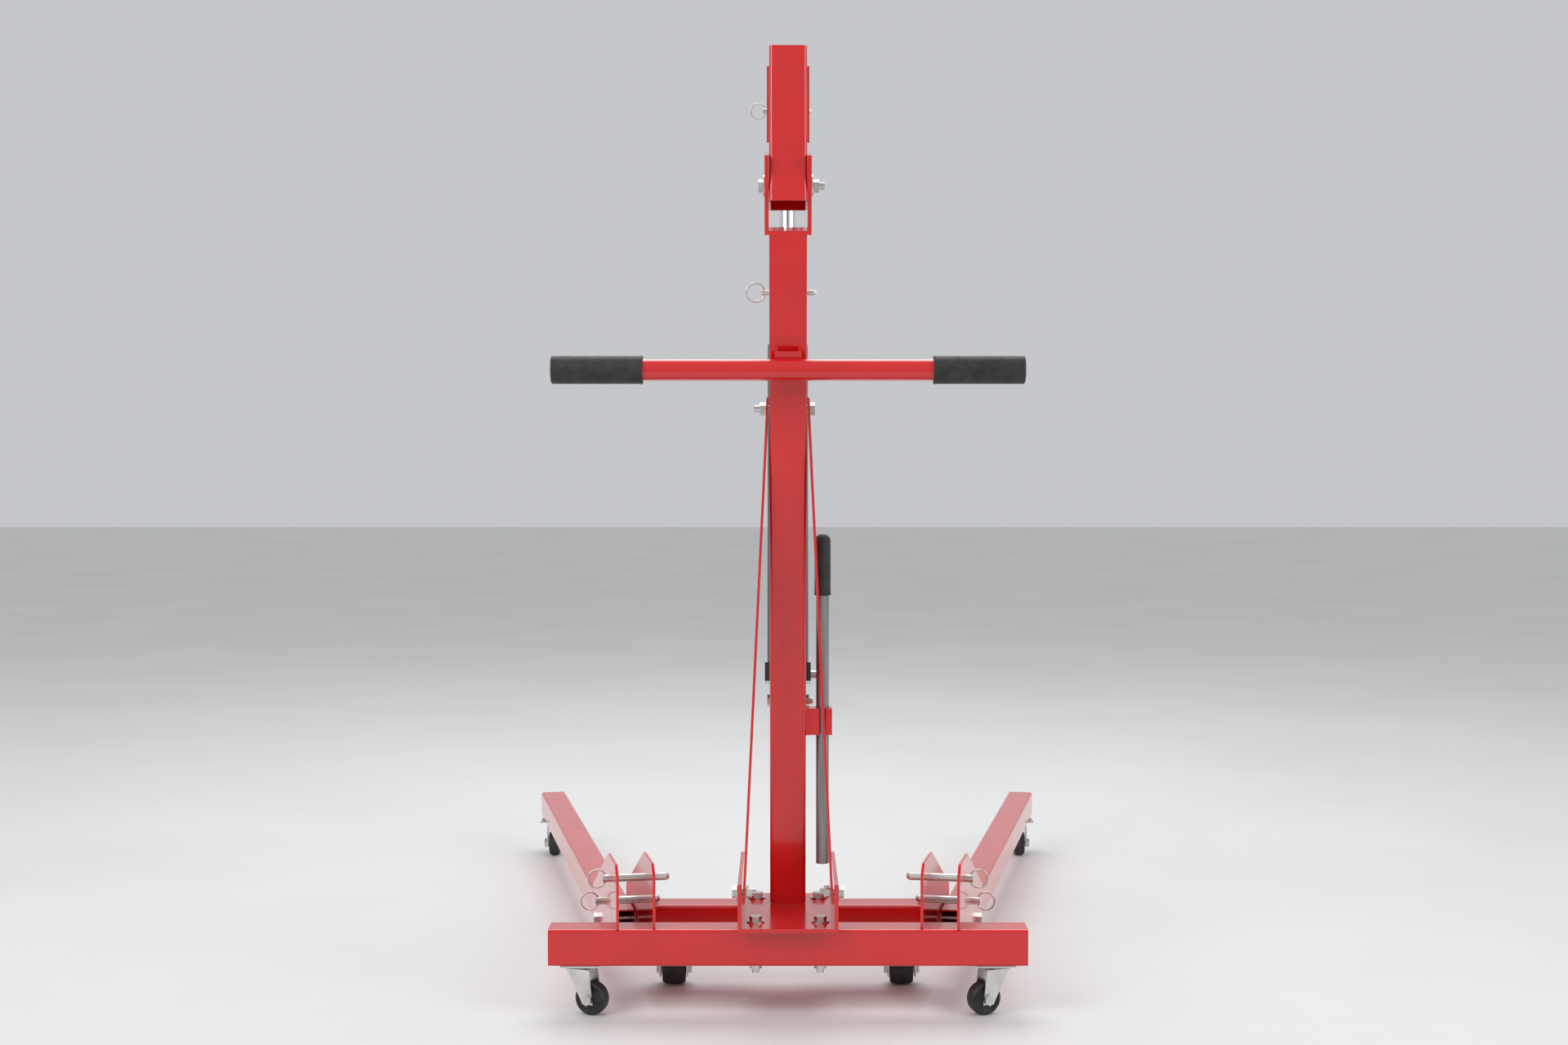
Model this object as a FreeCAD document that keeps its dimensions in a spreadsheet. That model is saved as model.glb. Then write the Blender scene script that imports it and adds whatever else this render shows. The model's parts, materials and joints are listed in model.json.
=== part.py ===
import FreeCAD, Part
import Sketcher
import math
import os
import re

from FreeCAD import Placement, Rotation, Vector

# Folding workshop crane. +Z is up, the floor is Z = 0, +Y is forward toward the leg tips, and the
# origin is on the floor under the middle of the whole crane. The sub-parts are first laid out from the
# rear beam's rear face, then all moved back together.

SIZES = {
    "beam_side": 65, "beam_wall": 3, "beam_bottom": 90, "tube_corner": 6,
    "rear_beam_length": 840, "front_beam_length": 536, "front_beam_start": 200,
    "bracket_width": 175, "bracket_depth": 300, "bracket_plate": 7, "bracket_overhang": 25,
    "ear_height": 85, "ear_bolt_rise": 62, "ear_bolt_place": 24,
    "post_lean": 11, "post_foot": 213, "post_length": 1220,
    "clevis_width": 80, "clevis_height": 134, "clevis_plate": 7, "clevis_pivot": 80,
    "strap_width": 38, "strap_thick": 4.5, "strap_bolt_height": 1065,
    "bolt_size": 13, "fit": 0.16,
    "leg_side": 58, "leg_wall": 3, "leg_length": 1370, "leg_start": 232, "leg_bottom": 82,
    "leg_splay": 11.2, "leg_spread": 265, "leg_pivot": 300, "leg_plate": 5, "leg_gap": 59.4,
    "upper_pin_reach": 92, "upper_pin_height": 229, "lower_pin_reach": 214, "lower_pin_height": 163,
    "pin_size": 14, "pin_overhang": 36, "ring_wire": 3, "ring_radius": 16,
    "boom_lean": 10, "boom_riser": 273, "boom_rise": 4, "boom_arm": 930, "boom_tail": 34,
    "extension_side": 52, "extension_wall": 4, "extension_length": 760, "extension_out": 250,
    "ram_foot_reach": 225, "ram_foot_height": 530, "ram_size": 76, "ram_length": 600,
    "rod_size": 30, "ram_head_reach": 396, "ram_head_height": 1500,
    "handle_length": 800, "handle_size": 37, "handle_wall": 3, "handle_height": 1145,
    "grip_size": 49, "grip_length": 156,
    "lever_size": 23, "lever_wall": 2.5, "lever_length": 590, "lever_bottom": 245,
    "wheel_size": 59, "wheel_width": 26, "roller_width": 44, "roller_place": 211, "roller_reach": 240,
    "caster_place": 365, "caster_trail": 22, "caster_yaw": 68, "far_caster_reach": 1308,
}

doc = FreeCAD.newDocument("FoldingCrane")
sheet = doc.addObject("Spreadsheet::Sheet", "Sizes")
for row, (alias, value) in enumerate(SIZES.items(), 1):
    sheet.set("A%d" % row, alias)
    sheet.set("B%d" % row, str(value))
    sheet.setAlias("B%d" % row, alias)
doc.recompute()

X_AXIS = Vector(1, 0, 0)
Y_AXIS = Vector(0, 1, 0)
Z_AXIS = Vector(0, 0, 1)
NODES = []


def size(alias):
    """One driving dimension, in millimetres or degrees."""
    return float(sheet.get(alias))


def bind(item, **formulas):
    """Bind properties to formulas written with the sheet's aliases."""
    for prop, formula in formulas.items():
        item.setExpression(prop, re.sub(r"[a-z][a-z_]+", lambda word: "Sizes." + word.group(), str(formula)))
    return item


def toward(axis):
    return Rotation(Z_AXIS, axis)


def box(length, width, height, at, turn=None):
    """A block centred on at along X, and starting at it along Y and Z."""
    item = bind(doc.addObject("Part::Box", "Block"), Length=length, Width=width, Height=height)
    doc.recompute()
    turn = turn or Rotation()
    half = turn.multVec(Vector(item.Length.Value / 2, 0, 0))
    item.Placement = Placement(at - half, turn)
    return item


def rod(diameter, length, at, axis=Z_AXIS):
    """A round bar from at along axis."""
    item = bind(doc.addObject("Part::Cylinder", "Rod"), Radius="(%s) / 2" % diameter, Height=length)
    item.Placement = Placement(at, toward(axis))
    return item


def hexagon(across, length, at, axis=Z_AXIS):
    item = bind(doc.addObject("Part::Prism", "Hexagon"), Circumradius="(%s) / 1.732" % across, Height=length)
    item.Placement = Placement(at, toward(axis))
    return item


def torus(ring, wire, at, axis=Z_AXIS):
    item = bind(doc.addObject("Part::Torus", "Ring"), Radius1=ring, Radius2="(%s) / 2" % wire)
    item.Placement = Placement(at, toward(axis))
    return item


def fuse(items):
    joined = doc.addObject("Part::MultiFuse", "Joined")
    joined.Shapes = items
    return joined


def cut(base, tools):
    opened = doc.addObject("Part::Cut", "Opened")
    opened.Base = base
    opened.Tool = tools[0] if len(tools) == 1 else fuse(tools)
    return opened


def group(items):
    together = doc.addObject("Part::Compound", "Group")
    together.Links = items
    return together


def node(label, item, placement=None):
    """Name a finished sub-part, and move it into place."""
    item.Label = label
    if placement:
        item.Placement = placement.multiply(item.Placement)
    NODES.append(item)
    return item


def origin_plane(body, role):
    return next(plane for plane in body.Origin.OriginFeatures if plane.Role == role)


def rectangle(sketch, width, height):
    """A rectangle centred on the sketch's origin, its sides bound to the sheet."""
    half_width, half_height = 20.0, 20.0
    corners = [(-half_width, -half_height), (half_width, -half_height),
               (half_width, half_height), (-half_width, half_height)]
    first = sketch.GeometryCount
    for index, corner in enumerate(corners):
        following = corners[(index + 1) % 4]
        sketch.addGeometry(Part.LineSegment(Vector(*corner, 0), Vector(*following, 0)))
    for index in range(4):
        sketch.addConstraint(Sketcher.Constraint("Coincident", first + index, 2, first + (index + 1) % 4, 1))
    for index, kind in enumerate(("Horizontal", "Vertical", "Horizontal", "Vertical")):
        sketch.addConstraint(Sketcher.Constraint(kind, first + index))
    sketch.addConstraint(Sketcher.Constraint("Symmetric", first, 1, first + 1, 2, -1, 1))
    for line, formula in ((first, width), (first + 1, height)):
        number = sketch.addConstraint(Sketcher.Constraint("Distance", line, 40.0))
        bind(sketch, **{"Constraints[%d]" % number: formula})


def square_tube(side, wall, length, corner="tube_corner"):
    """A square tube along +Y from the origin, with rounded long corners, as a Body."""
    body = doc.addObject("PartDesign::Body", "Tube")
    outline = body.newObject("Sketcher::SketchObject", "TubeOutline")
    outline.AttachmentSupport = [(origin_plane(body, "XZ_Plane"), "")]
    outline.MapMode = "FlatFace"
    rectangle(outline, side, side)
    pad = body.newObject("PartDesign::Pad", "TubeLength")
    pad.Profile = outline
    pad.Reversed = True
    bind(pad, Length=length)
    doc.recompute()
    edges = ["Edge%d" % (index + 1) for index, edge in enumerate(pad.Shape.Edges)
             if abs(edge.tangentAt(edge.FirstParameter).y) > 0.99]
    rounded = body.newObject("PartDesign::Fillet", "TubeCorners")
    rounded.Base = (pad, edges)
    bind(rounded, Radius=corner)
    bore = body.newObject("Sketcher::SketchObject", "TubeBore")
    bore.AttachmentSupport = [(origin_plane(body, "XZ_Plane"), "")]
    bore.MapMode = "FlatFace"
    inner = "%s - 2 * %s" % (side, wall)
    rectangle(bore, inner, inner)
    pocket = body.newObject("PartDesign::Pocket", "TubeHollow")
    pocket.Profile = bore
    pocket.Type = "ThroughAll"
    pocket.Midplane = True
    body.Tip = pocket
    doc.recompute()
    return body


def plate(outline, thickness, axis_side):
    """A flat plate across X from its outline of (Y, Z) points, centred on axis_side."""
    half = thickness / 2
    points = [Vector(axis_side - half, y, z) for y, z in outline]
    face = Part.Face(Part.makePolygon(points + points[:1]))
    item = doc.addObject("Part::Feature", "Plate")
    item.Shape = face.extrude(Vector(thickness, 0, 0))
    return item


def bolt(length, at, axis, across="bolt_size * 1.5"):
    head = hexagon(across, 8, at, axis * -1)
    return fuse([head, rod("bolt_size", length, at, axis)])


def nut(at, axis):
    return cut(hexagon("bolt_size * 1.5", 10, at, axis), [rod("bolt_size + fit", 12, at - axis, axis)])


def washer(at, axis, diameter="bolt_size * 2.4"):
    return cut(rod(diameter, 2.5, at, axis), [rod("bolt_size + fit", 6, at - axis, axis)])


def hole(at, axis, length):
    return rod("bolt_size + fit", length, at, axis)


top = size("beam_bottom") + size("beam_side")

# Base: two cross beams and the centre bracket bolted across them.
bracket_top = top + size("bracket_plate")
bracket_start = -size("bracket_overhang")
bolt_side = 57.0
base_bolt_spots = [(side * bolt_side, reach) for side in (-1, 1)
                   for reach in (size("beam_side") / 2, size("front_beam_start") + size("beam_side") / 2)]
middle = size("beam_side") / 2
for label, length, start in (("rear_beam", "rear_beam_length", 0),
                             ("front_beam", "front_beam_length", size("front_beam_start"))):
    tube = square_tube("beam_side", "beam_wall", length)
    span = size(length)
    tube.Placement = Placement(Vector(-span / 2, start + middle, top - middle), Rotation(Z_AXIS, -90))
    drills = [hole(Vector(x, y, size("beam_bottom") - 10), Z_AXIS, size("beam_side") + 20)
              for x, y in base_bolt_spots if start <= y <= start + size("beam_side")]
    node(label, cut(tube, drills))

ear_bolt_height = top + size("ear_bolt_rise")
ear_middle = size("bracket_width") / 2 - size("bracket_plate") / 2
floor_plate = box("bracket_width", "bracket_depth", "bracket_plate", Vector(0, bracket_start, top))
ears = [box("bracket_plate", "bracket_depth", "ear_height", Vector(side * ear_middle, bracket_start, top))
        for side in (-1, 1)]
bracket_holes = [hole(Vector(x, y, top - 5), Z_AXIS, 20) for x, y in base_bolt_spots]
bracket_holes.append(hole(Vector(-120, size("ear_bolt_place"), ear_bolt_height), X_AXIS, 240))
node("centre_bracket", cut(fuse([floor_plate] + ears), bracket_holes))
base_fasteners = []
for x, y in base_bolt_spots:
    base_fasteners.append(bolt(92, Vector(x, y, bracket_top + 2.5), Z_AXIS * -1))
    base_fasteners.append(washer(Vector(x, y, bracket_top), Z_AXIS))
    base_fasteners.append(nut(Vector(x, y, size("beam_bottom")), Z_AXIS * -1))
node("base_bolts", group(base_fasteners))

# Post: a square tube that leans back, with the boom's clevis on its top.
lean = Rotation(X_AXIS, size("post_lean"))
post_foot = Vector(0, size("post_foot"), bracket_top + size("beam_side") / 2 * math.sin(math.radians(size("post_lean"))))
post_frame = Placement(post_foot, lean)


def on_post(height, forward=0, side=0):
    """A point given along the post, in front of its middle and to its side."""
    return post_frame.multVec(Vector(side, forward, height))


def post_height(z):
    return (z - post_foot.z) / math.cos(math.radians(size("post_lean")))


strap_height = post_height(size("strap_bolt_height"))
pin_height = post_height(1265)
post_tube = square_tube("beam_side", "beam_wall", "post_length")
post_tube.Placement = Placement(Vector(), Rotation(X_AXIS, 90))
post_holes = [hole(Vector(-50, 0, strap_height), X_AXIS, 100), rod("9.16", 100, Vector(-50, 0, pin_height), X_AXIS)]
node("post", cut(post_tube, post_holes), post_frame)

clevis_middle = size("clevis_width") / 2 - size("clevis_plate") / 2
clevis_start = -size("beam_side") / 2
clevis_parts = [box("clevis_width", "beam_side", "clevis_plate", Vector(0, clevis_start, size("post_length")))]
clevis_parts += [box("clevis_plate", "beam_side", "clevis_height",
                     Vector(side * clevis_middle, clevis_start, size("post_length"))) for side in (-1, 1)]
pivot_height = size("post_length") + size("clevis_pivot")
clevis_hole = hole(Vector(-60, 0, pivot_height), X_AXIS, 120)
node("boom_clevis", cut(fuse(clevis_parts), [clevis_hole]), post_frame)
boom_pivot = on_post(pivot_height)
clevis_side = size("clevis_width") / 2
pivot_left = Vector(-clevis_side - 2.5, boom_pivot.y, boom_pivot.z)
pivot_right = Vector(clevis_side, boom_pivot.y, boom_pivot.z)
node("boom_pivot_bolt", group([bolt(105, pivot_left, X_AXIS), washer(pivot_left, X_AXIS, "38"),
                               washer(pivot_right, X_AXIS, "38"), nut(pivot_right + X_AXIS * 2.5, X_AXIS)]))

# Side straps from the post down to the inner faces of the bracket's ears.
strap_top = on_post(strap_height)
strap_edge = size("beam_side") / 2 + size("strap_thick") / 2
strap_foot = ear_middle - size("bracket_plate") / 2 - size("strap_thick") / 2
strap_low = Vector(0, size("ear_bolt_place"), ear_bolt_height)
ear_fasteners = []
for name, side in (("left", -1), ("right", 1)):
    high = Vector(side * (strap_edge + 1.4), strap_top.y, strap_top.z)
    low = Vector(side * (strap_foot - 1.4), strap_low.y, strap_low.z)
    along = (high - low).normalize()
    turn = Rotation(X_AXIS.cross(along).cross(along) * -1, X_AXIS.cross(along) * -1, along, "ZXY")
    margin = size("strap_width") / 2
    bar = box("strap_thick", "strap_width", (high - low).Length + 2 * margin,
              low - along * margin - turn.multVec(Vector(0, margin, 0)), turn)
    spots = [Vector(-120, end.y, end.z) for end in (high, low)]
    node("side_strap_" + name, cut(bar, [rod("bolt_size + 2", 240, spot, X_AXIS) for spot in spots]))
    outside = side * size("bracket_width") / 2
    inward = X_AXIS * -side
    start = Vector(outside, strap_low.y, strap_low.z)
    ear_fasteners.append(bolt(34, start - inward * 2.5, inward))
    ear_fasteners.append(washer(start - inward * 2.5, inward))
    ear_fasteners.append(nut(start + inward * (size("bracket_plate") + size("strap_thick") + 3), inward))
node("ear_bolts", group(ear_fasteners))
strap_span = strap_edge + size("strap_thick") / 2 + 2
node("strap_bolt", group([bolt(2 * strap_span + 20, Vector(strap_span, strap_top.y, strap_top.z), X_AXIS * -1),
                          nut(Vector(-strap_span, strap_top.y, strap_top.z), X_AXIS * -1)]))


def ring_pin(reach, diameter, at, axis):
    """A pin from at along axis with a bevelled tip, and the wire ring through its near end."""
    shank = rod(diameter, reach - 5, at, axis)
    tip = doc.addObject("Part::Cone", "Tip")
    bind(tip, Radius1="(%s) / 2" % diameter, Radius2="(%s) / 3.2" % diameter, Height=5)
    tip.Placement = Placement(at + axis * (reach - 5), toward(axis))
    middle_of_ring = at - axis * (size("ring_radius") - 6)
    ring = torus("ring_radius", "ring_wire", middle_of_ring, Y_AXIS)
    bore = torus("ring_radius", "ring_wire + 0.8", middle_of_ring, Y_AXIS)
    return group([cut(fuse([shank, tip]), [bore]), ring])


post_pin_spot = on_post(pin_height)
post_pin_start = Vector(-middle - 14, post_pin_spot.y, post_pin_spot.z)
node("post_pin", ring_pin(96, "9", post_pin_start, X_AXIS))

# Ram: lugs on the post's front, cylinder, piston rod, pump socket and release valve.
foot = Vector(0, size("ram_foot_reach"), size("ram_foot_height"))
head = Vector(0, size("ram_head_reach"), size("ram_head_height"))
ram_axis = (head - foot).normalize()
ram_turn = Rotation(X_AXIS, -math.degrees(math.atan2(ram_axis.y, ram_axis.z)))
ram_frame = Placement(foot, ram_turn)
post_front = size("beam_side") / 2
lug_hole = post_frame.inverse().multVec(foot)
lugs = []
for side in (-1, 1):
    lug = box("7", lug_hole.y - post_front + 20, "70", Vector(side * 26, post_front, lug_hole.z - 50))
    lugs.append(cut(lug, [hole(Vector(-60, lug_hole.y, lug_hole.z), X_AXIS, 120)]))
node("ram_lugs", group(lugs), post_frame)
node("ram_foot_bolt", group([bolt(76, Vector(-29.9, foot.y, foot.z), X_AXIS),
                             nut(Vector(29.9, foot.y, foot.z), X_AXIS)]))
eye_block = fuse([rod("34", 40, Vector(-20, 0, 0), X_AXIS), box("40", "34", "34", Vector(0, -17, 0))])
casting = fuse([eye_block, box("84", "90", "34", Vector(0, -40, 34)), rod("ram_size", "ram_length", Vector(0, 0, 68)),
                rod("ram_size - 12", 18, Vector(0, 0, 68 + size("ram_length")))])
body_hollow = [hole(Vector(-40, 0, 0), X_AXIS, 80), rod("rod_size + 0.16", "ram_length + 20", Vector(0, 0, 78)),
               rod("16.16", 30, Vector(30, 32, 50), X_AXIS)]
node("ram_cylinder", cut(casting, body_hollow), ram_frame)
rod_start = 168.0
rod_end = (head - foot).Length
piston = fuse([rod("rod_size", rod_end - rod_start - 10, Vector(0, 0, rod_start)),
               rod("34", 38, Vector(-19, 0, rod_end), X_AXIS)])
node("piston_rod", cut(piston, [rod("21", 80, Vector(-40, 0, rod_end), X_AXIS)]), ram_frame)
valve = fuse([rod("16", 26, Vector(32, 32, 50), X_AXIS), rod("5", 26, Vector(54, 19, 50), Y_AXIS)])
node("release_valve", valve, ram_frame)
socket_spot = Vector(0, 66, 92)
socket = cut(fuse([rod("30", 120, socket_spot), rod("16", 60, socket_spot + Vector(-30, 0, 0), X_AXIS)]),
             [rod("24", 90, socket_spot + Vector(0, 0, 40))])
node("pump_socket", socket, ram_frame)
socket_ears = [cut(box("8", "57", "42", Vector(side * 23, 33.4, 68)),
                   [rod("16.16", 60, socket_spot + Vector(-30, 0, 0), X_AXIS)]) for side in (-1, 1)]
node("pump_ears", group(socket_ears), ram_frame)

# Boom: a steep riser on the clevis, cranked forward into a nearly level arm with an extension.
riser_turn = Rotation(X_AXIS, 90 - size("boom_lean"))
riser_up = riser_turn.multVec(Y_AXIS)
arm_turn = Rotation(X_AXIS, size("boom_rise"))
arm_forward = arm_turn.multVec(Y_AXIS)
riser_start = boom_pivot - riser_up * size("boom_tail")
elbow = riser_start + riser_up * (size("boom_riser") - middle)
riser = square_tube("beam_side", "beam_wall", "boom_riser")
riser.Placement = Placement(riser_start, riser_turn)
arm = square_tube("beam_side", "beam_wall", "boom_arm")
arm.Placement = Placement(elbow + arm_forward * (middle + 2 * math.tan(math.radians(10))), arm_turn)
hidden = arm_forward * 130
gusset_points = [elbow - riser_up * 130, elbow + riser_up * 6 - arm_forward * 6, elbow + hidden]
gussets = []
for side in (-1, 1):
    gussets.append(plate([(point.y, point.z) for point in gusset_points], 4, side * (middle + 2)))
lug_top = elbow + arm_forward * ((head - elbow).dot(arm_forward))
boom_lugs = [cut(plate([(head.y - 26, head.z - 24), (head.y + 26, head.z - 24), (head.y + 48, lug_top.z),
                        (head.y - 48, lug_top.z)], 6, side * (middle - 6)),
                 [hole(Vector(-60, head.y, head.z), X_AXIS, 120)]) for side in (-1, 1)]
arm_end = arm.Placement.multVec(Vector(0, size("boom_arm"), 0))
lock_spot = arm_end - arm_forward * 60
boom_holes = [hole(Vector(-60, boom_pivot.y, boom_pivot.z), X_AXIS, 120), rod("12.16", 120, lock_spot - X_AXIS * 60, X_AXIS)]
arm_bore = box("beam_side - 2 * beam_wall", "boom_arm + 40", "beam_side - 2 * beam_wall", Vector())
arm_bore.Placement = Placement(arm.Placement.multVec(Vector(-(size("beam_side") / 2 - 3), 8, -(size("beam_side") / 2 - 3))), arm_turn)
node("boom", cut(fuse([riser, arm] + gussets + boom_lugs), boom_holes + [arm_bore]))
node("ram_head_bolt", group([bolt(82, Vector(-middle - 0.2, head.y, head.z), X_AXIS),
                             nut(Vector(middle + 0.2, head.y, head.z), X_AXIS)]))
extension = square_tube("extension_side", "extension_wall", "extension_length")
extension_end = arm_end + arm_forward * size("extension_out")
extension.Placement = Placement(extension_end - arm_forward * size("extension_length"), arm_turn)
hook_spot = extension_end - arm_forward * 30
under = arm_turn.multVec(Z_AXIS)
extension_holes = [rod("12.16", 120, lock_spot - X_AXIS * 60, X_AXIS), rod("14.16", 90, hook_spot - X_AXIS * 45, X_AXIS),
                   box("37", "70", "30", hook_spot - Y_AXIS * 34 - Z_AXIS * 42)]
node("boom_extension", cut(extension, extension_holes))
node("extension_pin", ring_pin(104, "12", lock_spot - X_AXIS * 52, X_AXIS))
hook_bolt = fuse([hexagon("21", 8, hook_spot - X_AXIS * 26.1, X_AXIS * -1), rod("14", 66, hook_spot - X_AXIS * 26.1, X_AXIS)])
hook_nut = cut(hexagon("21", 10, hook_spot + X_AXIS * 26.1, X_AXIS), [rod("14.6", 14, hook_spot + X_AXIS * 25, X_AXIS)])
node("hook_bolt", group([hook_bolt, hook_nut]))
hook_bow = doc.addObject("Part::Torus", "Hook")
bind(hook_bow, Radius1="26", Radius2="9", Angle3="250")
hook_bow.Placement = Placement(hook_spot - Z_AXIS * 118, Rotation(Vector(0, 1, 0), Vector(0, 0, 1), X_AXIS, "ZXY"))
swivel_eye = cut(rod("30", 34, hook_spot - X_AXIS * 17, X_AXIS), [rod("14.16", 40, hook_spot - X_AXIS * 20, X_AXIS)])
node("load_hook", fuse([swivel_eye, box("12", "12", "74", hook_spot - Z_AXIS * 86 - Y_AXIS * 6), hook_bow]))

# Push handle: round cross tube on a hat bracket, with a grip at each end.
handle_spot = on_post(post_height(size("handle_height")), -middle - 26 - size("handle_size") / 2)
handle_start = handle_spot - X_AXIS * (size("handle_length") / 2)
node("push_handle", cut(rod("handle_size", "handle_length", handle_start, X_AXIS),
                        [rod("handle_size - 2 * handle_wall", "handle_length + 20", handle_start - X_AXIS * 10, X_AXIS)]))
hat_low = post_height(size("handle_height")) - 30
node("handle_bracket", cut(box("46", "34", "60", Vector(0, -middle - 34.1, hat_low)),
                           [rod("handle_size + 0.4", 80, Vector(-40, -middle - 26 - size("handle_size") / 2, hat_low + 30), X_AXIS),
                            box("34", "40", "70", Vector(0, -middle - 30, hat_low - 5))]), post_frame)
for name, side in (("left", -1), ("right", 1)):
    end = handle_spot + X_AXIS * (side * (size("handle_length") / 2 + 4))
    grip_bore = rod("handle_size + 0.1", "grip_length - 4", end - X_AXIS * (side * 4), X_AXIS * -side)
    node("grip_" + name, cut(rod("grip_size", "grip_length", end, X_AXIS * -side), [grip_bore]))

# Pump handle: a steel tube with a grip, held in a slotted bracket on the post's right side.
lever_x = middle + 30
lever_y = on_post(post_height(520)).y - 2
lever_foot = Vector(lever_x, lever_y, size("lever_bottom"))
node("pump_handle", cut(rod("lever_size", "lever_length", lever_foot),
                        [rod("lever_size - 2 * lever_wall", "lever_length + 20", lever_foot - Z_AXIS * 10)]))
grip_foot = lever_foot + Z_AXIS * (size("lever_length") - 104)
node("pump_handle_grip", cut(rod("30", 110, grip_foot), [rod("lever_size + 0.1", 105.3, grip_foot - Z_AXIS)]))
holder = fuse([box("5", "44", "48", Vector(middle + 2.5, lever_y - 22, 480)), box("42", "36", "48", Vector(middle + 26, lever_y - 18, 480))])
holder_tools = [rod("lever_size + 3", 70, Vector(lever_x, lever_y, 470)), box("12", "8", "60", Vector(lever_x, lever_y - 19, 474))]
node("pump_handle_holder", cut(holder, holder_tools))

# Casters: mounting plate, fork, wheel and axle in the caster's own frame, trailing along +Y.
wheel_radius = size("wheel_size") / 2


def wheel(label, width, at, axis):
    """A wheel of two tapered halves with a bore."""
    solid = cut(rod("wheel_size", width, at - axis * (width / 2), axis), [rod("10.16", width + 20, at - axis * (width / 2 + 10), axis)])
    node(label, solid)


def axle(reach, at, axis):
    shank = rod("10", 2 * reach, at - axis * reach, axis)
    ends = [hexagon("17", 6, at + axis * (side * reach), axis * side) for side in (-1, 1)]
    return fuse([shank] + ends)


def swivel_caster(name, stem, deck, heading):
    """A swivel caster under deck, its stem over stem and its wheel trailing along heading."""
    turn = Rotation(Y_AXIS, heading)
    frame = Placement(Vector(stem.x, stem.y, 0), turn)
    cheek = size("wheel_width") / 2 + 4
    high = deck - 3.4
    post_peg = rod("20", 8, Vector(0, 0, high - 8))
    roof = box("2 * (wheel_width / 2 + 5.5)", "44", "3", Vector(0, -20, high - 8))
    sides = [plate([(-18, high - 5), (24, high - 5), (size("caster_trail") + 10, wheel_radius - 9),
                    (size("caster_trail") - 10, wheel_radius - 9)], 3, side * cheek) for side in (-1, 1)]
    axle_hole = rod("10.16", 80, Vector(-40, size("caster_trail"), wheel_radius), X_AXIS)
    fork = cut(fuse([post_peg, roof] + sides), [axle_hole])
    pivot_pin = axle(cheek + 1.6, Vector(0, size("caster_trail"), wheel_radius), X_AXIS)
    node(name + "_fork", group([fork, pivot_pin]), frame)
    centre = frame.multVec(Vector(0, size("caster_trail"), wheel_radius))
    wheel(name + "_wheel", size("wheel_width"), centre, turn.multVec(X_AXIS))
    return box("68", "60", "3", Vector(stem.x, stem.y - 30, deck - 3))


def leg_frame(side):
    return Placement(Vector(side * size("leg_spread"), 0, 0), Rotation(Z_AXIS, -side * size("leg_splay")))


yaw = math.radians(size("caster_yaw"))
rear_plates = []
for name, side in (("left", -1), ("right", 1)):
    stem = Vector(side * size("caster_place"), middle, 0)
    inward = Vector(-side * math.sin(yaw), -math.cos(yaw), 0)
    rear_plates.append(swivel_caster("rear_caster_" + name, stem, size("beam_bottom"), inward))

    # Fixed roller under the front beam.
    roller = Vector(side * size("roller_place"), size("roller_reach"), wheel_radius)
    cheek = size("roller_width") / 2 + 3
    fork_plates = [box("3", "44", size("beam_bottom") - wheel_radius + 12,
                       Vector(roller.x + edge * cheek, roller.y - 22, wheel_radius - 12)) for edge in (-1, 1)]
    fork_roof = box("roller_width + 9", "44", "3", Vector(roller.x, roller.y - 22, size("beam_bottom") - 3))
    roller_fork = cut(fuse(fork_plates + [fork_roof]), [rod("10.16", 90, roller - X_AXIS * 45, X_AXIS)])
    node("roller_fork_" + name, group([roller_fork, axle(cheek + 1.6, roller, X_AXIS)]))
    wheel("roller_wheel_" + name, size("roller_width"), roller, X_AXIS)

    # Leg plates, leg, pivot bolt and ring pins, in the leg's own frame.
    frame = leg_frame(side)
    spread = size("leg_gap") / 2 + size("leg_plate") / 2
    low = size("leg_bottom")
    outline = [(6, top + 0.3), (middle * 2 + 10, top + 0.3), (middle * 2 + 10, low), (385, low), (385, 158), (130, 266), (26, 266), (6, 248)]
    plates = []
    pins = [(size("upper_pin_reach"), size("upper_pin_height")), (size("lower_pin_reach"), size("lower_pin_height"))]
    pivot = Vector(0, size("leg_pivot"), low + size("leg_side") / 2)
    for edge in (-1, 1):
        sheet_plate = plate(outline, size("leg_plate"), edge * spread)
        tools = [rod("pin_size + fit", 120, Vector(-60, reach, height), X_AXIS) for reach, height in pins]
        plates.append(cut(sheet_plate, tools + [hole(pivot - X_AXIS * 60, X_AXIS, 120)]))
    node("leg_plates_" + name, group(plates), frame)
    tube = square_tube("leg_side", "leg_wall", "leg_length")
    tube.Placement = Placement(Vector(0, size("leg_start"), pivot.z), Rotation())
    node("leg_" + name, cut(tube, [hole(pivot - X_AXIS * 60, X_AXIS, 120)]), frame)
    outside = side * (spread + size("leg_plate") / 2)
    node("leg_bolt_" + name, group([bolt(86, Vector(outside, pivot.y, pivot.z), X_AXIS * -side),
                                    nut(Vector(-outside, pivot.y, pivot.z), X_AXIS * -side)]), frame)
    for place, (reach, height) in zip(("upper", "lower"), pins):
        start = Vector(outside + side * 14, reach, height)
        reach_through = abs(outside) * 2 + 14 + size("pin_overhang")
        ring_pin_here = ring_pin(reach_through, "pin_size", start, X_AXIS * -side)
        node("%s_pin_%s" % (place, name), ring_pin_here, frame)
    far = frame.multVec(Vector(0, size("leg_start") + size("far_caster_reach"), 0))
    node("front_caster_plate_" + name, swivel_caster("front_caster_" + name, far, low, Vector(0, -1, 0)))
node("rear_caster_plates", group(rear_plates))

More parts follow.
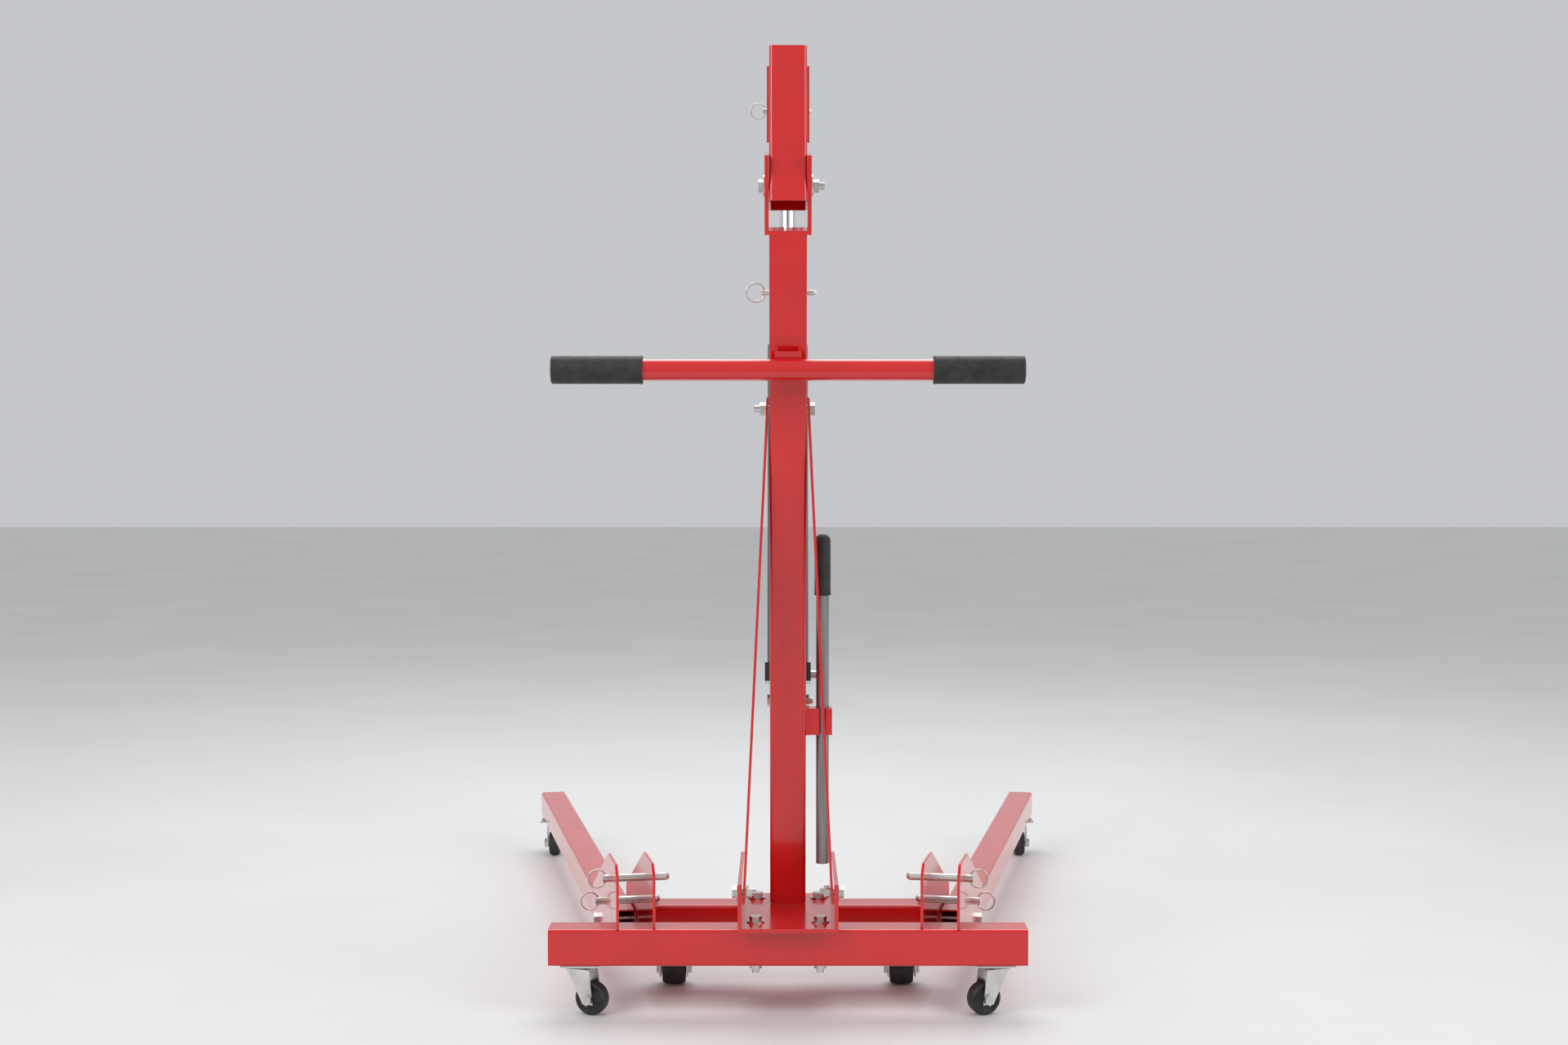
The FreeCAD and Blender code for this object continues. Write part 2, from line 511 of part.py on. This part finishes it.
doc.recompute()
whole = Part.makeCompound([item.Shape for item in NODES]).BoundBox
to_middle = Placement(Vector(0, -whole.Center.y, 0), Rotation())
for item in NODES:
    item.Placement = to_middle.multiply(item.Placement)
doc.recompute()
os.makedirs("parts", exist_ok=True)
for item in doc.Objects:
    if "Invalid" in item.State or "Error" in item.State:
        raise RuntimeError("%s did not recompute: %s" % (item.Label, item.State))
for item in NODES:
    if item.Shape.isNull() or not item.Shape.isValid():
        raise RuntimeError("%s has no valid shape" % item.Label)
    item.Shape.exportStep("parts/%s.step" % item.Label)
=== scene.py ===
import json
import math

import bmesh
import bpy
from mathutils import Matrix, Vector


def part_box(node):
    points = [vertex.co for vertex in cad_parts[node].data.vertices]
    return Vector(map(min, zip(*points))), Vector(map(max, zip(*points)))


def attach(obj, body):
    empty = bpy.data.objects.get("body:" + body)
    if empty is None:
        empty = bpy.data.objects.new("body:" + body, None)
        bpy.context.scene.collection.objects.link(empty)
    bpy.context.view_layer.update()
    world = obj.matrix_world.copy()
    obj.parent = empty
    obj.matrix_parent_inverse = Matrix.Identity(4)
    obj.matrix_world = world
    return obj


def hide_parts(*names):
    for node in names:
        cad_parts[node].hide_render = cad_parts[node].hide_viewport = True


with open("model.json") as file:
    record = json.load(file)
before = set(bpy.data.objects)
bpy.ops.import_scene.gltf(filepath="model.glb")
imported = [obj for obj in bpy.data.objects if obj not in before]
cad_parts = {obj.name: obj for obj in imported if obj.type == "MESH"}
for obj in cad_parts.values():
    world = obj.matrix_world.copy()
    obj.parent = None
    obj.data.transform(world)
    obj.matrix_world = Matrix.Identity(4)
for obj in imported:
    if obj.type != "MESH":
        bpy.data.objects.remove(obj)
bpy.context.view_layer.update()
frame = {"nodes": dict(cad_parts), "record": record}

RECORD = frame["record"]
NODES = frame["nodes"]
BODY_OF = {node: body for body, nodes in RECORD["behaviour"]["bodies"].items() for node in nodes}
JOINTS = {joint["name"]: joint for joint in RECORD["behaviour"]["joints"]}

# Where the noise's range starts and ends as a colour ramp.
RAMP_START = 0.3
RAMP_END = 0.7

# Moulded pieces, in metres.
EDGE_ROUNDING = 0.0008
AXLE_BORE = 0.0054
HUB_RADIUS = 0.011
GROOVE_RADIUS = 0.0125
GROOVE_DEPTH = 0.003
TREAD_INSET = 0.0008
ROLLER_HALF_WIDTH = 0.022
CASTER_HALF_WIDTH = 0.013
GRIP_STEP = 0.0005
CENTRE_GAP = 0.0005
END_WALL = 0.005
HANDLE_BORE = 0.0186
LEVER_BORE = 0.0116
FLAT_END = 0.003
ROUND_END = 0.0125


# Materials: each is a shader fed by noise for its colour, roughness and bump.
class Finish:
    """A node material whose base colour, roughness and bump come from procedural noise."""

    def __init__(self, name, metallic, coat=0.0):
        self.material = bpy.data.materials.new(name)
        self.material.use_nodes = True
        self.nodes = self.material.node_tree.nodes
        self.links = self.material.node_tree.links
        self.shader = self.nodes["Principled BSDF"]
        self.shader.inputs["Metallic"].default_value = metallic
        self.shader.inputs["Coat Weight"].default_value = coat
        self.place = self.nodes.new("ShaderNodeTexCoord").outputs["Object"]

    def noise(self, scale, detail=4.0, stretch=None):
        source = self.place
        if stretch:
            mapping = self.nodes.new("ShaderNodeMapping")
            mapping.inputs["Scale"].default_value = stretch
            self.links.new(self.place, mapping.inputs["Vector"])
            source = mapping.outputs["Vector"]
        noise = self.nodes.new("ShaderNodeTexNoise")
        noise.inputs["Scale"].default_value = scale
        noise.inputs["Detail"].default_value = detail
        self.links.new(source, noise.inputs["Vector"])
        return noise.outputs["Fac"]

    def ramp(self, factor, low, high):
        ramp = self.nodes.new("ShaderNodeValToRGB")
        ends = ((RAMP_START, low), (RAMP_END, high))
        for element, (position, colour) in zip(ramp.color_ramp.elements, ends):
            element.position = position
            element.color = colour
        self.links.new(factor, ramp.inputs["Fac"])
        return ramp.outputs["Color"]

    def colour(self, factor, low, high):
        blend = self.ramp(factor, (*low, 1), (*high, 1))
        self.links.new(blend, self.shader.inputs["Base Color"])

    def roughness(self, factor, low, high):
        spread = self.nodes.new("ShaderNodeMapRange")
        spread.inputs["To Min"].default_value = low
        spread.inputs["To Max"].default_value = high
        self.links.new(factor, spread.inputs["Value"])
        self.links.new(spread.outputs["Result"], self.shader.inputs["Roughness"])

    def bump(self, factor, strength, distance):
        bump = self.nodes.new("ShaderNodeBump")
        bump.inputs["Strength"].default_value = strength
        bump.inputs["Distance"].default_value = distance
        self.links.new(factor, bump.inputs["Height"])
        self.links.new(bump.outputs["Normal"], self.shader.inputs["Normal"])


def red_paint():
    finish = Finish("red_powder_coat", 0.0, 0.7)
    finish.colour(finish.noise(7.0), (0.6, 0.003, 0.004), (0.68, 0.005, 0.006))
    finish.roughness(finish.noise(30.0), 0.16, 0.3)
    finish.bump(finish.noise(420.0, 2.0), 0.12, 0.0004)
    finish.shader.inputs["Coat Roughness"].default_value = 0.08
    return finish.material


def black_paint():
    finish = Finish("black_ram_paint", 0.0, 0.4)
    finish.colour(finish.noise(12.0), (0.008, 0.008, 0.009), (0.022, 0.022, 0.024))
    finish.roughness(finish.noise(40.0), 0.22, 0.4)
    finish.bump(finish.noise(350.0, 2.0), 0.12, 0.0004)
    return finish.material


def rubber():
    finish = Finish("black_rubber", 0.0)
    finish.colour(finish.noise(60.0), (0.01, 0.01, 0.01), (0.03, 0.03, 0.031))
    finish.roughness(finish.noise(90.0), 0.45, 0.7)
    finish.bump(finish.noise(900.0, 3.0), 0.25, 0.0005)
    return finish.material


def zinc():
    finish = Finish("zinc_plate", 1.0)
    finish.colour(finish.noise(25.0), (0.5, 0.49, 0.46), (0.76, 0.75, 0.72))
    finish.roughness(finish.noise(70.0), 0.2, 0.42)
    finish.bump(finish.noise(500.0, 3.0), 0.15, 0.0003)
    return finish.material


def grey_steel():
    finish = Finish("drawn_grey_steel", 0.9)
    finish.colour(finish.noise(10.0, 4.0, (8, 8, 0.4)), (0.24, 0.24, 0.25), (0.4, 0.4, 0.41))
    finish.roughness(finish.noise(30.0), 0.3, 0.5)
    finish.bump(finish.noise(60.0, 3.0, (10, 10, 0.3)), 0.15, 0.0003)
    return finish.material


def chrome():
    finish = Finish("polished_chrome", 1.0)
    finish.colour(finish.noise(8.0), (0.78, 0.78, 0.8), (0.86, 0.86, 0.87))
    finish.roughness(finish.noise(40.0), 0.04, 0.1)
    finish.bump(finish.noise(200.0, 2.0, (1, 1, 12)), 0.03, 0.0002)
    return finish.material


FINISHES = {"red_paint": red_paint(), "black_paint": black_paint(), "black_rubber": rubber(),
            "zinc": zinc(), "grey_steel": grey_steel(), "chrome": chrome()}
for part in RECORD["subparts"]:
    mesh = NODES[part["node"]].data
    mesh.materials.clear()
    mesh.materials.append(FINISHES[part["material_slot"]])
    for polygon in mesh.polygons:
        polygon.material_index = 0


def turned(name, profile, middle, axis, slot, body, node=None, steps=64):
    """A lathed piece: profile is a closed outline of (along the axis, radius) in metres."""
    shape = bmesh.new()
    turn = Vector((0, 0, 1)).rotation_difference(Vector(axis)).to_matrix()
    rings = []
    for step in range(steps):
        angle = 2 * math.pi * step / steps
        ring = []
        for along, radius in profile:
            point = Vector((radius * math.cos(angle), radius * math.sin(angle), along))
            ring.append(shape.verts.new(middle + turn @ point))
        rings.append(ring)
    count = len(profile)
    for step in range(steps):
        ring, following = rings[step], rings[(step + 1) % steps]
        for index in range(count):
            after = (index + 1) % count
            shape.faces.new((ring[index], following[index], following[after], ring[after]))
    bmesh.ops.recalc_face_normals(shape, faces=shape.faces)
    mesh = bpy.data.meshes.new(name)
    shape.to_mesh(mesh)
    shape.free()
    mesh.materials.append(FINISHES[slot])
    mesh.shade_smooth()
    piece = bpy.data.objects.new(name, mesh)
    bpy.context.scene.collection.objects.link(piece)
    bevel = piece.modifiers.new("Edges", "BEVEL")
    bevel.width = EDGE_ROUNDING
    bevel.segments = 2
    bevel.limit_method = "ANGLE"
    normals = piece.modifiers.new("Normals", "WEIGHTED_NORMAL")
    normals.keep_sharp = True
    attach(piece, body)
    if node:
        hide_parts(node)
    return piece


def caster_wheel(node, joint):
    """A moulded wheel: crowned tread, side groove and raised hub, in place of the plain CAD wheel."""
    middle = Vector(JOINTS[joint]["pos_m"])
    axis = Vector(JOINTS[joint]["axis"])
    low, high = (Vector(corner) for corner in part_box(node))
    radius = (high.z - low.z) / 2
    half = ROLLER_HALF_WIDTH if node.startswith("roller") else CASTER_HALF_WIDTH
    floor_of_groove = half - GROOVE_DEPTH
    edge = half - TREAD_INSET
    side = [(half, AXLE_BORE), (half, HUB_RADIUS), (floor_of_groove, GROOVE_RADIUS),
            (floor_of_groove, radius * 0.7), (edge, radius * 0.76), (edge, radius * 0.86),
            (half * 0.75, radius * 0.96)]
    profile = side + [(0.0, radius)] + [(-along, ring) for along, ring in reversed(side)]
    turned(node + "_moulded", profile, middle, axis, "black_rubber", BODY_OF[node], node)


for side in ("left", "right"):
    caster_wheel("rear_caster_%s_wheel" % side, "rear_caster_%s_spin" % side)
    caster_wheel("front_caster_%s_wheel" % side, "front_caster_%s_spin" % side)
    caster_wheel("roller_wheel_" + side, "roller_spin_" + side)


def moulded_grip(node, axis, outward, bore, dome):
    """A smooth sleeve with a small collar at its open end and a rounded closed end."""
    low, high = (Vector(corner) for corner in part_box(node))
    middle = (low + high) / 2
    length = abs((high - low).dot(Vector(axis)))
    radius = min(high.x - low.x, high.y - low.y, high.z - low.z) / 2
    start = -outward * length / 2
    end = start + outward * length
    outline = [(start, bore), (start, radius - 0.0006), (start + outward * 0.0008, radius),
               (start + outward * 0.004, radius), (start + outward * 0.005, radius - GRIP_STEP)]
    dome_steps = 8
    for step in range(dome_steps + 1):
        angle = math.pi / 2 * step / dome_steps
        along = end - outward * dome * (1 - math.sin(angle))
        outline.append((along, radius - GRIP_STEP - dome * (1 - math.cos(angle))))
    wall = end - outward * END_WALL
    outline += [(end, CENTRE_GAP), (wall, CENTRE_GAP), (wall, bore)]
    turned(node + "_moulded", outline, middle, axis, "black_rubber", BODY_OF[node], node)


moulded_grip("grip_left", (1, 0, 0), -1, HANDLE_BORE, FLAT_END)
moulded_grip("grip_right", (1, 0, 0), 1, HANDLE_BORE, FLAT_END)
moulded_grip("pump_handle_grip", (0, 0, 1), 1, LEVER_BORE, ROUND_END)

# Stage: a pale floor and backdrop, large soft lights and the camera behind the crane.
floor_finish = Finish("pale_floor", 0.0)
floor_finish.colour(floor_finish.noise(1.5), (0.72, 0.72, 0.71), (0.76, 0.76, 0.75))
floor_finish.roughness(floor_finish.noise(20.0), 0.5, 0.6)
bpy.ops.mesh.primitive_plane_add(size=40, location=(0, 0, 0))
floor = bpy.context.object
floor.name = "floor"
floor.data.materials.append(floor_finish.material)


def soft_light(name, at, power, width):
    lamp = bpy.data.lights.new(name, "AREA")
    lamp.energy = power
    lamp.size = width
    holder = bpy.data.objects.new(name, lamp)
    holder.location = at
    holder.rotation_euler = (Vector((0, 0, 0.8)) - Vector(at)).to_track_quat("-Z", "Y").to_euler()
    bpy.context.scene.collection.objects.link(holder)


soft_light("key", (-2.6, -3.0, 3.2), 62, 2.2)
soft_light("fill", (2.8, -2.4, 2.4), 38, 2.2)
soft_light("top", (0, 1.6, 4.2), 95, 3.0)
world = bpy.data.worlds.new("studio")
world.use_nodes = True
world.node_tree.nodes["Background"].inputs["Color"].default_value = (0.9, 0.92, 0.95, 1)
world.node_tree.nodes["Background"].inputs["Strength"].default_value = 0.62
bpy.context.scene.world = world
bpy.context.scene.view_settings.view_transform = "Standard"

CAMERA_HEIGHT = 1.016
CAMERA_DISTANCE = 3.775
CAMERA_PITCH = math.radians(2.25)
rear_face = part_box("rear_beam")[0][1]
lens = bpy.data.cameras.new("camera")
lens.lens = 50
lens.sensor_width = 36
camera = bpy.data.objects.new("camera", lens)
camera.location = (-0.007, rear_face - CAMERA_DISTANCE, CAMERA_HEIGHT)
camera.rotation_euler = (math.pi / 2 - CAMERA_PITCH, 0, 0)
bpy.context.scene.collection.objects.link(camera)
bpy.context.scene.camera = camera
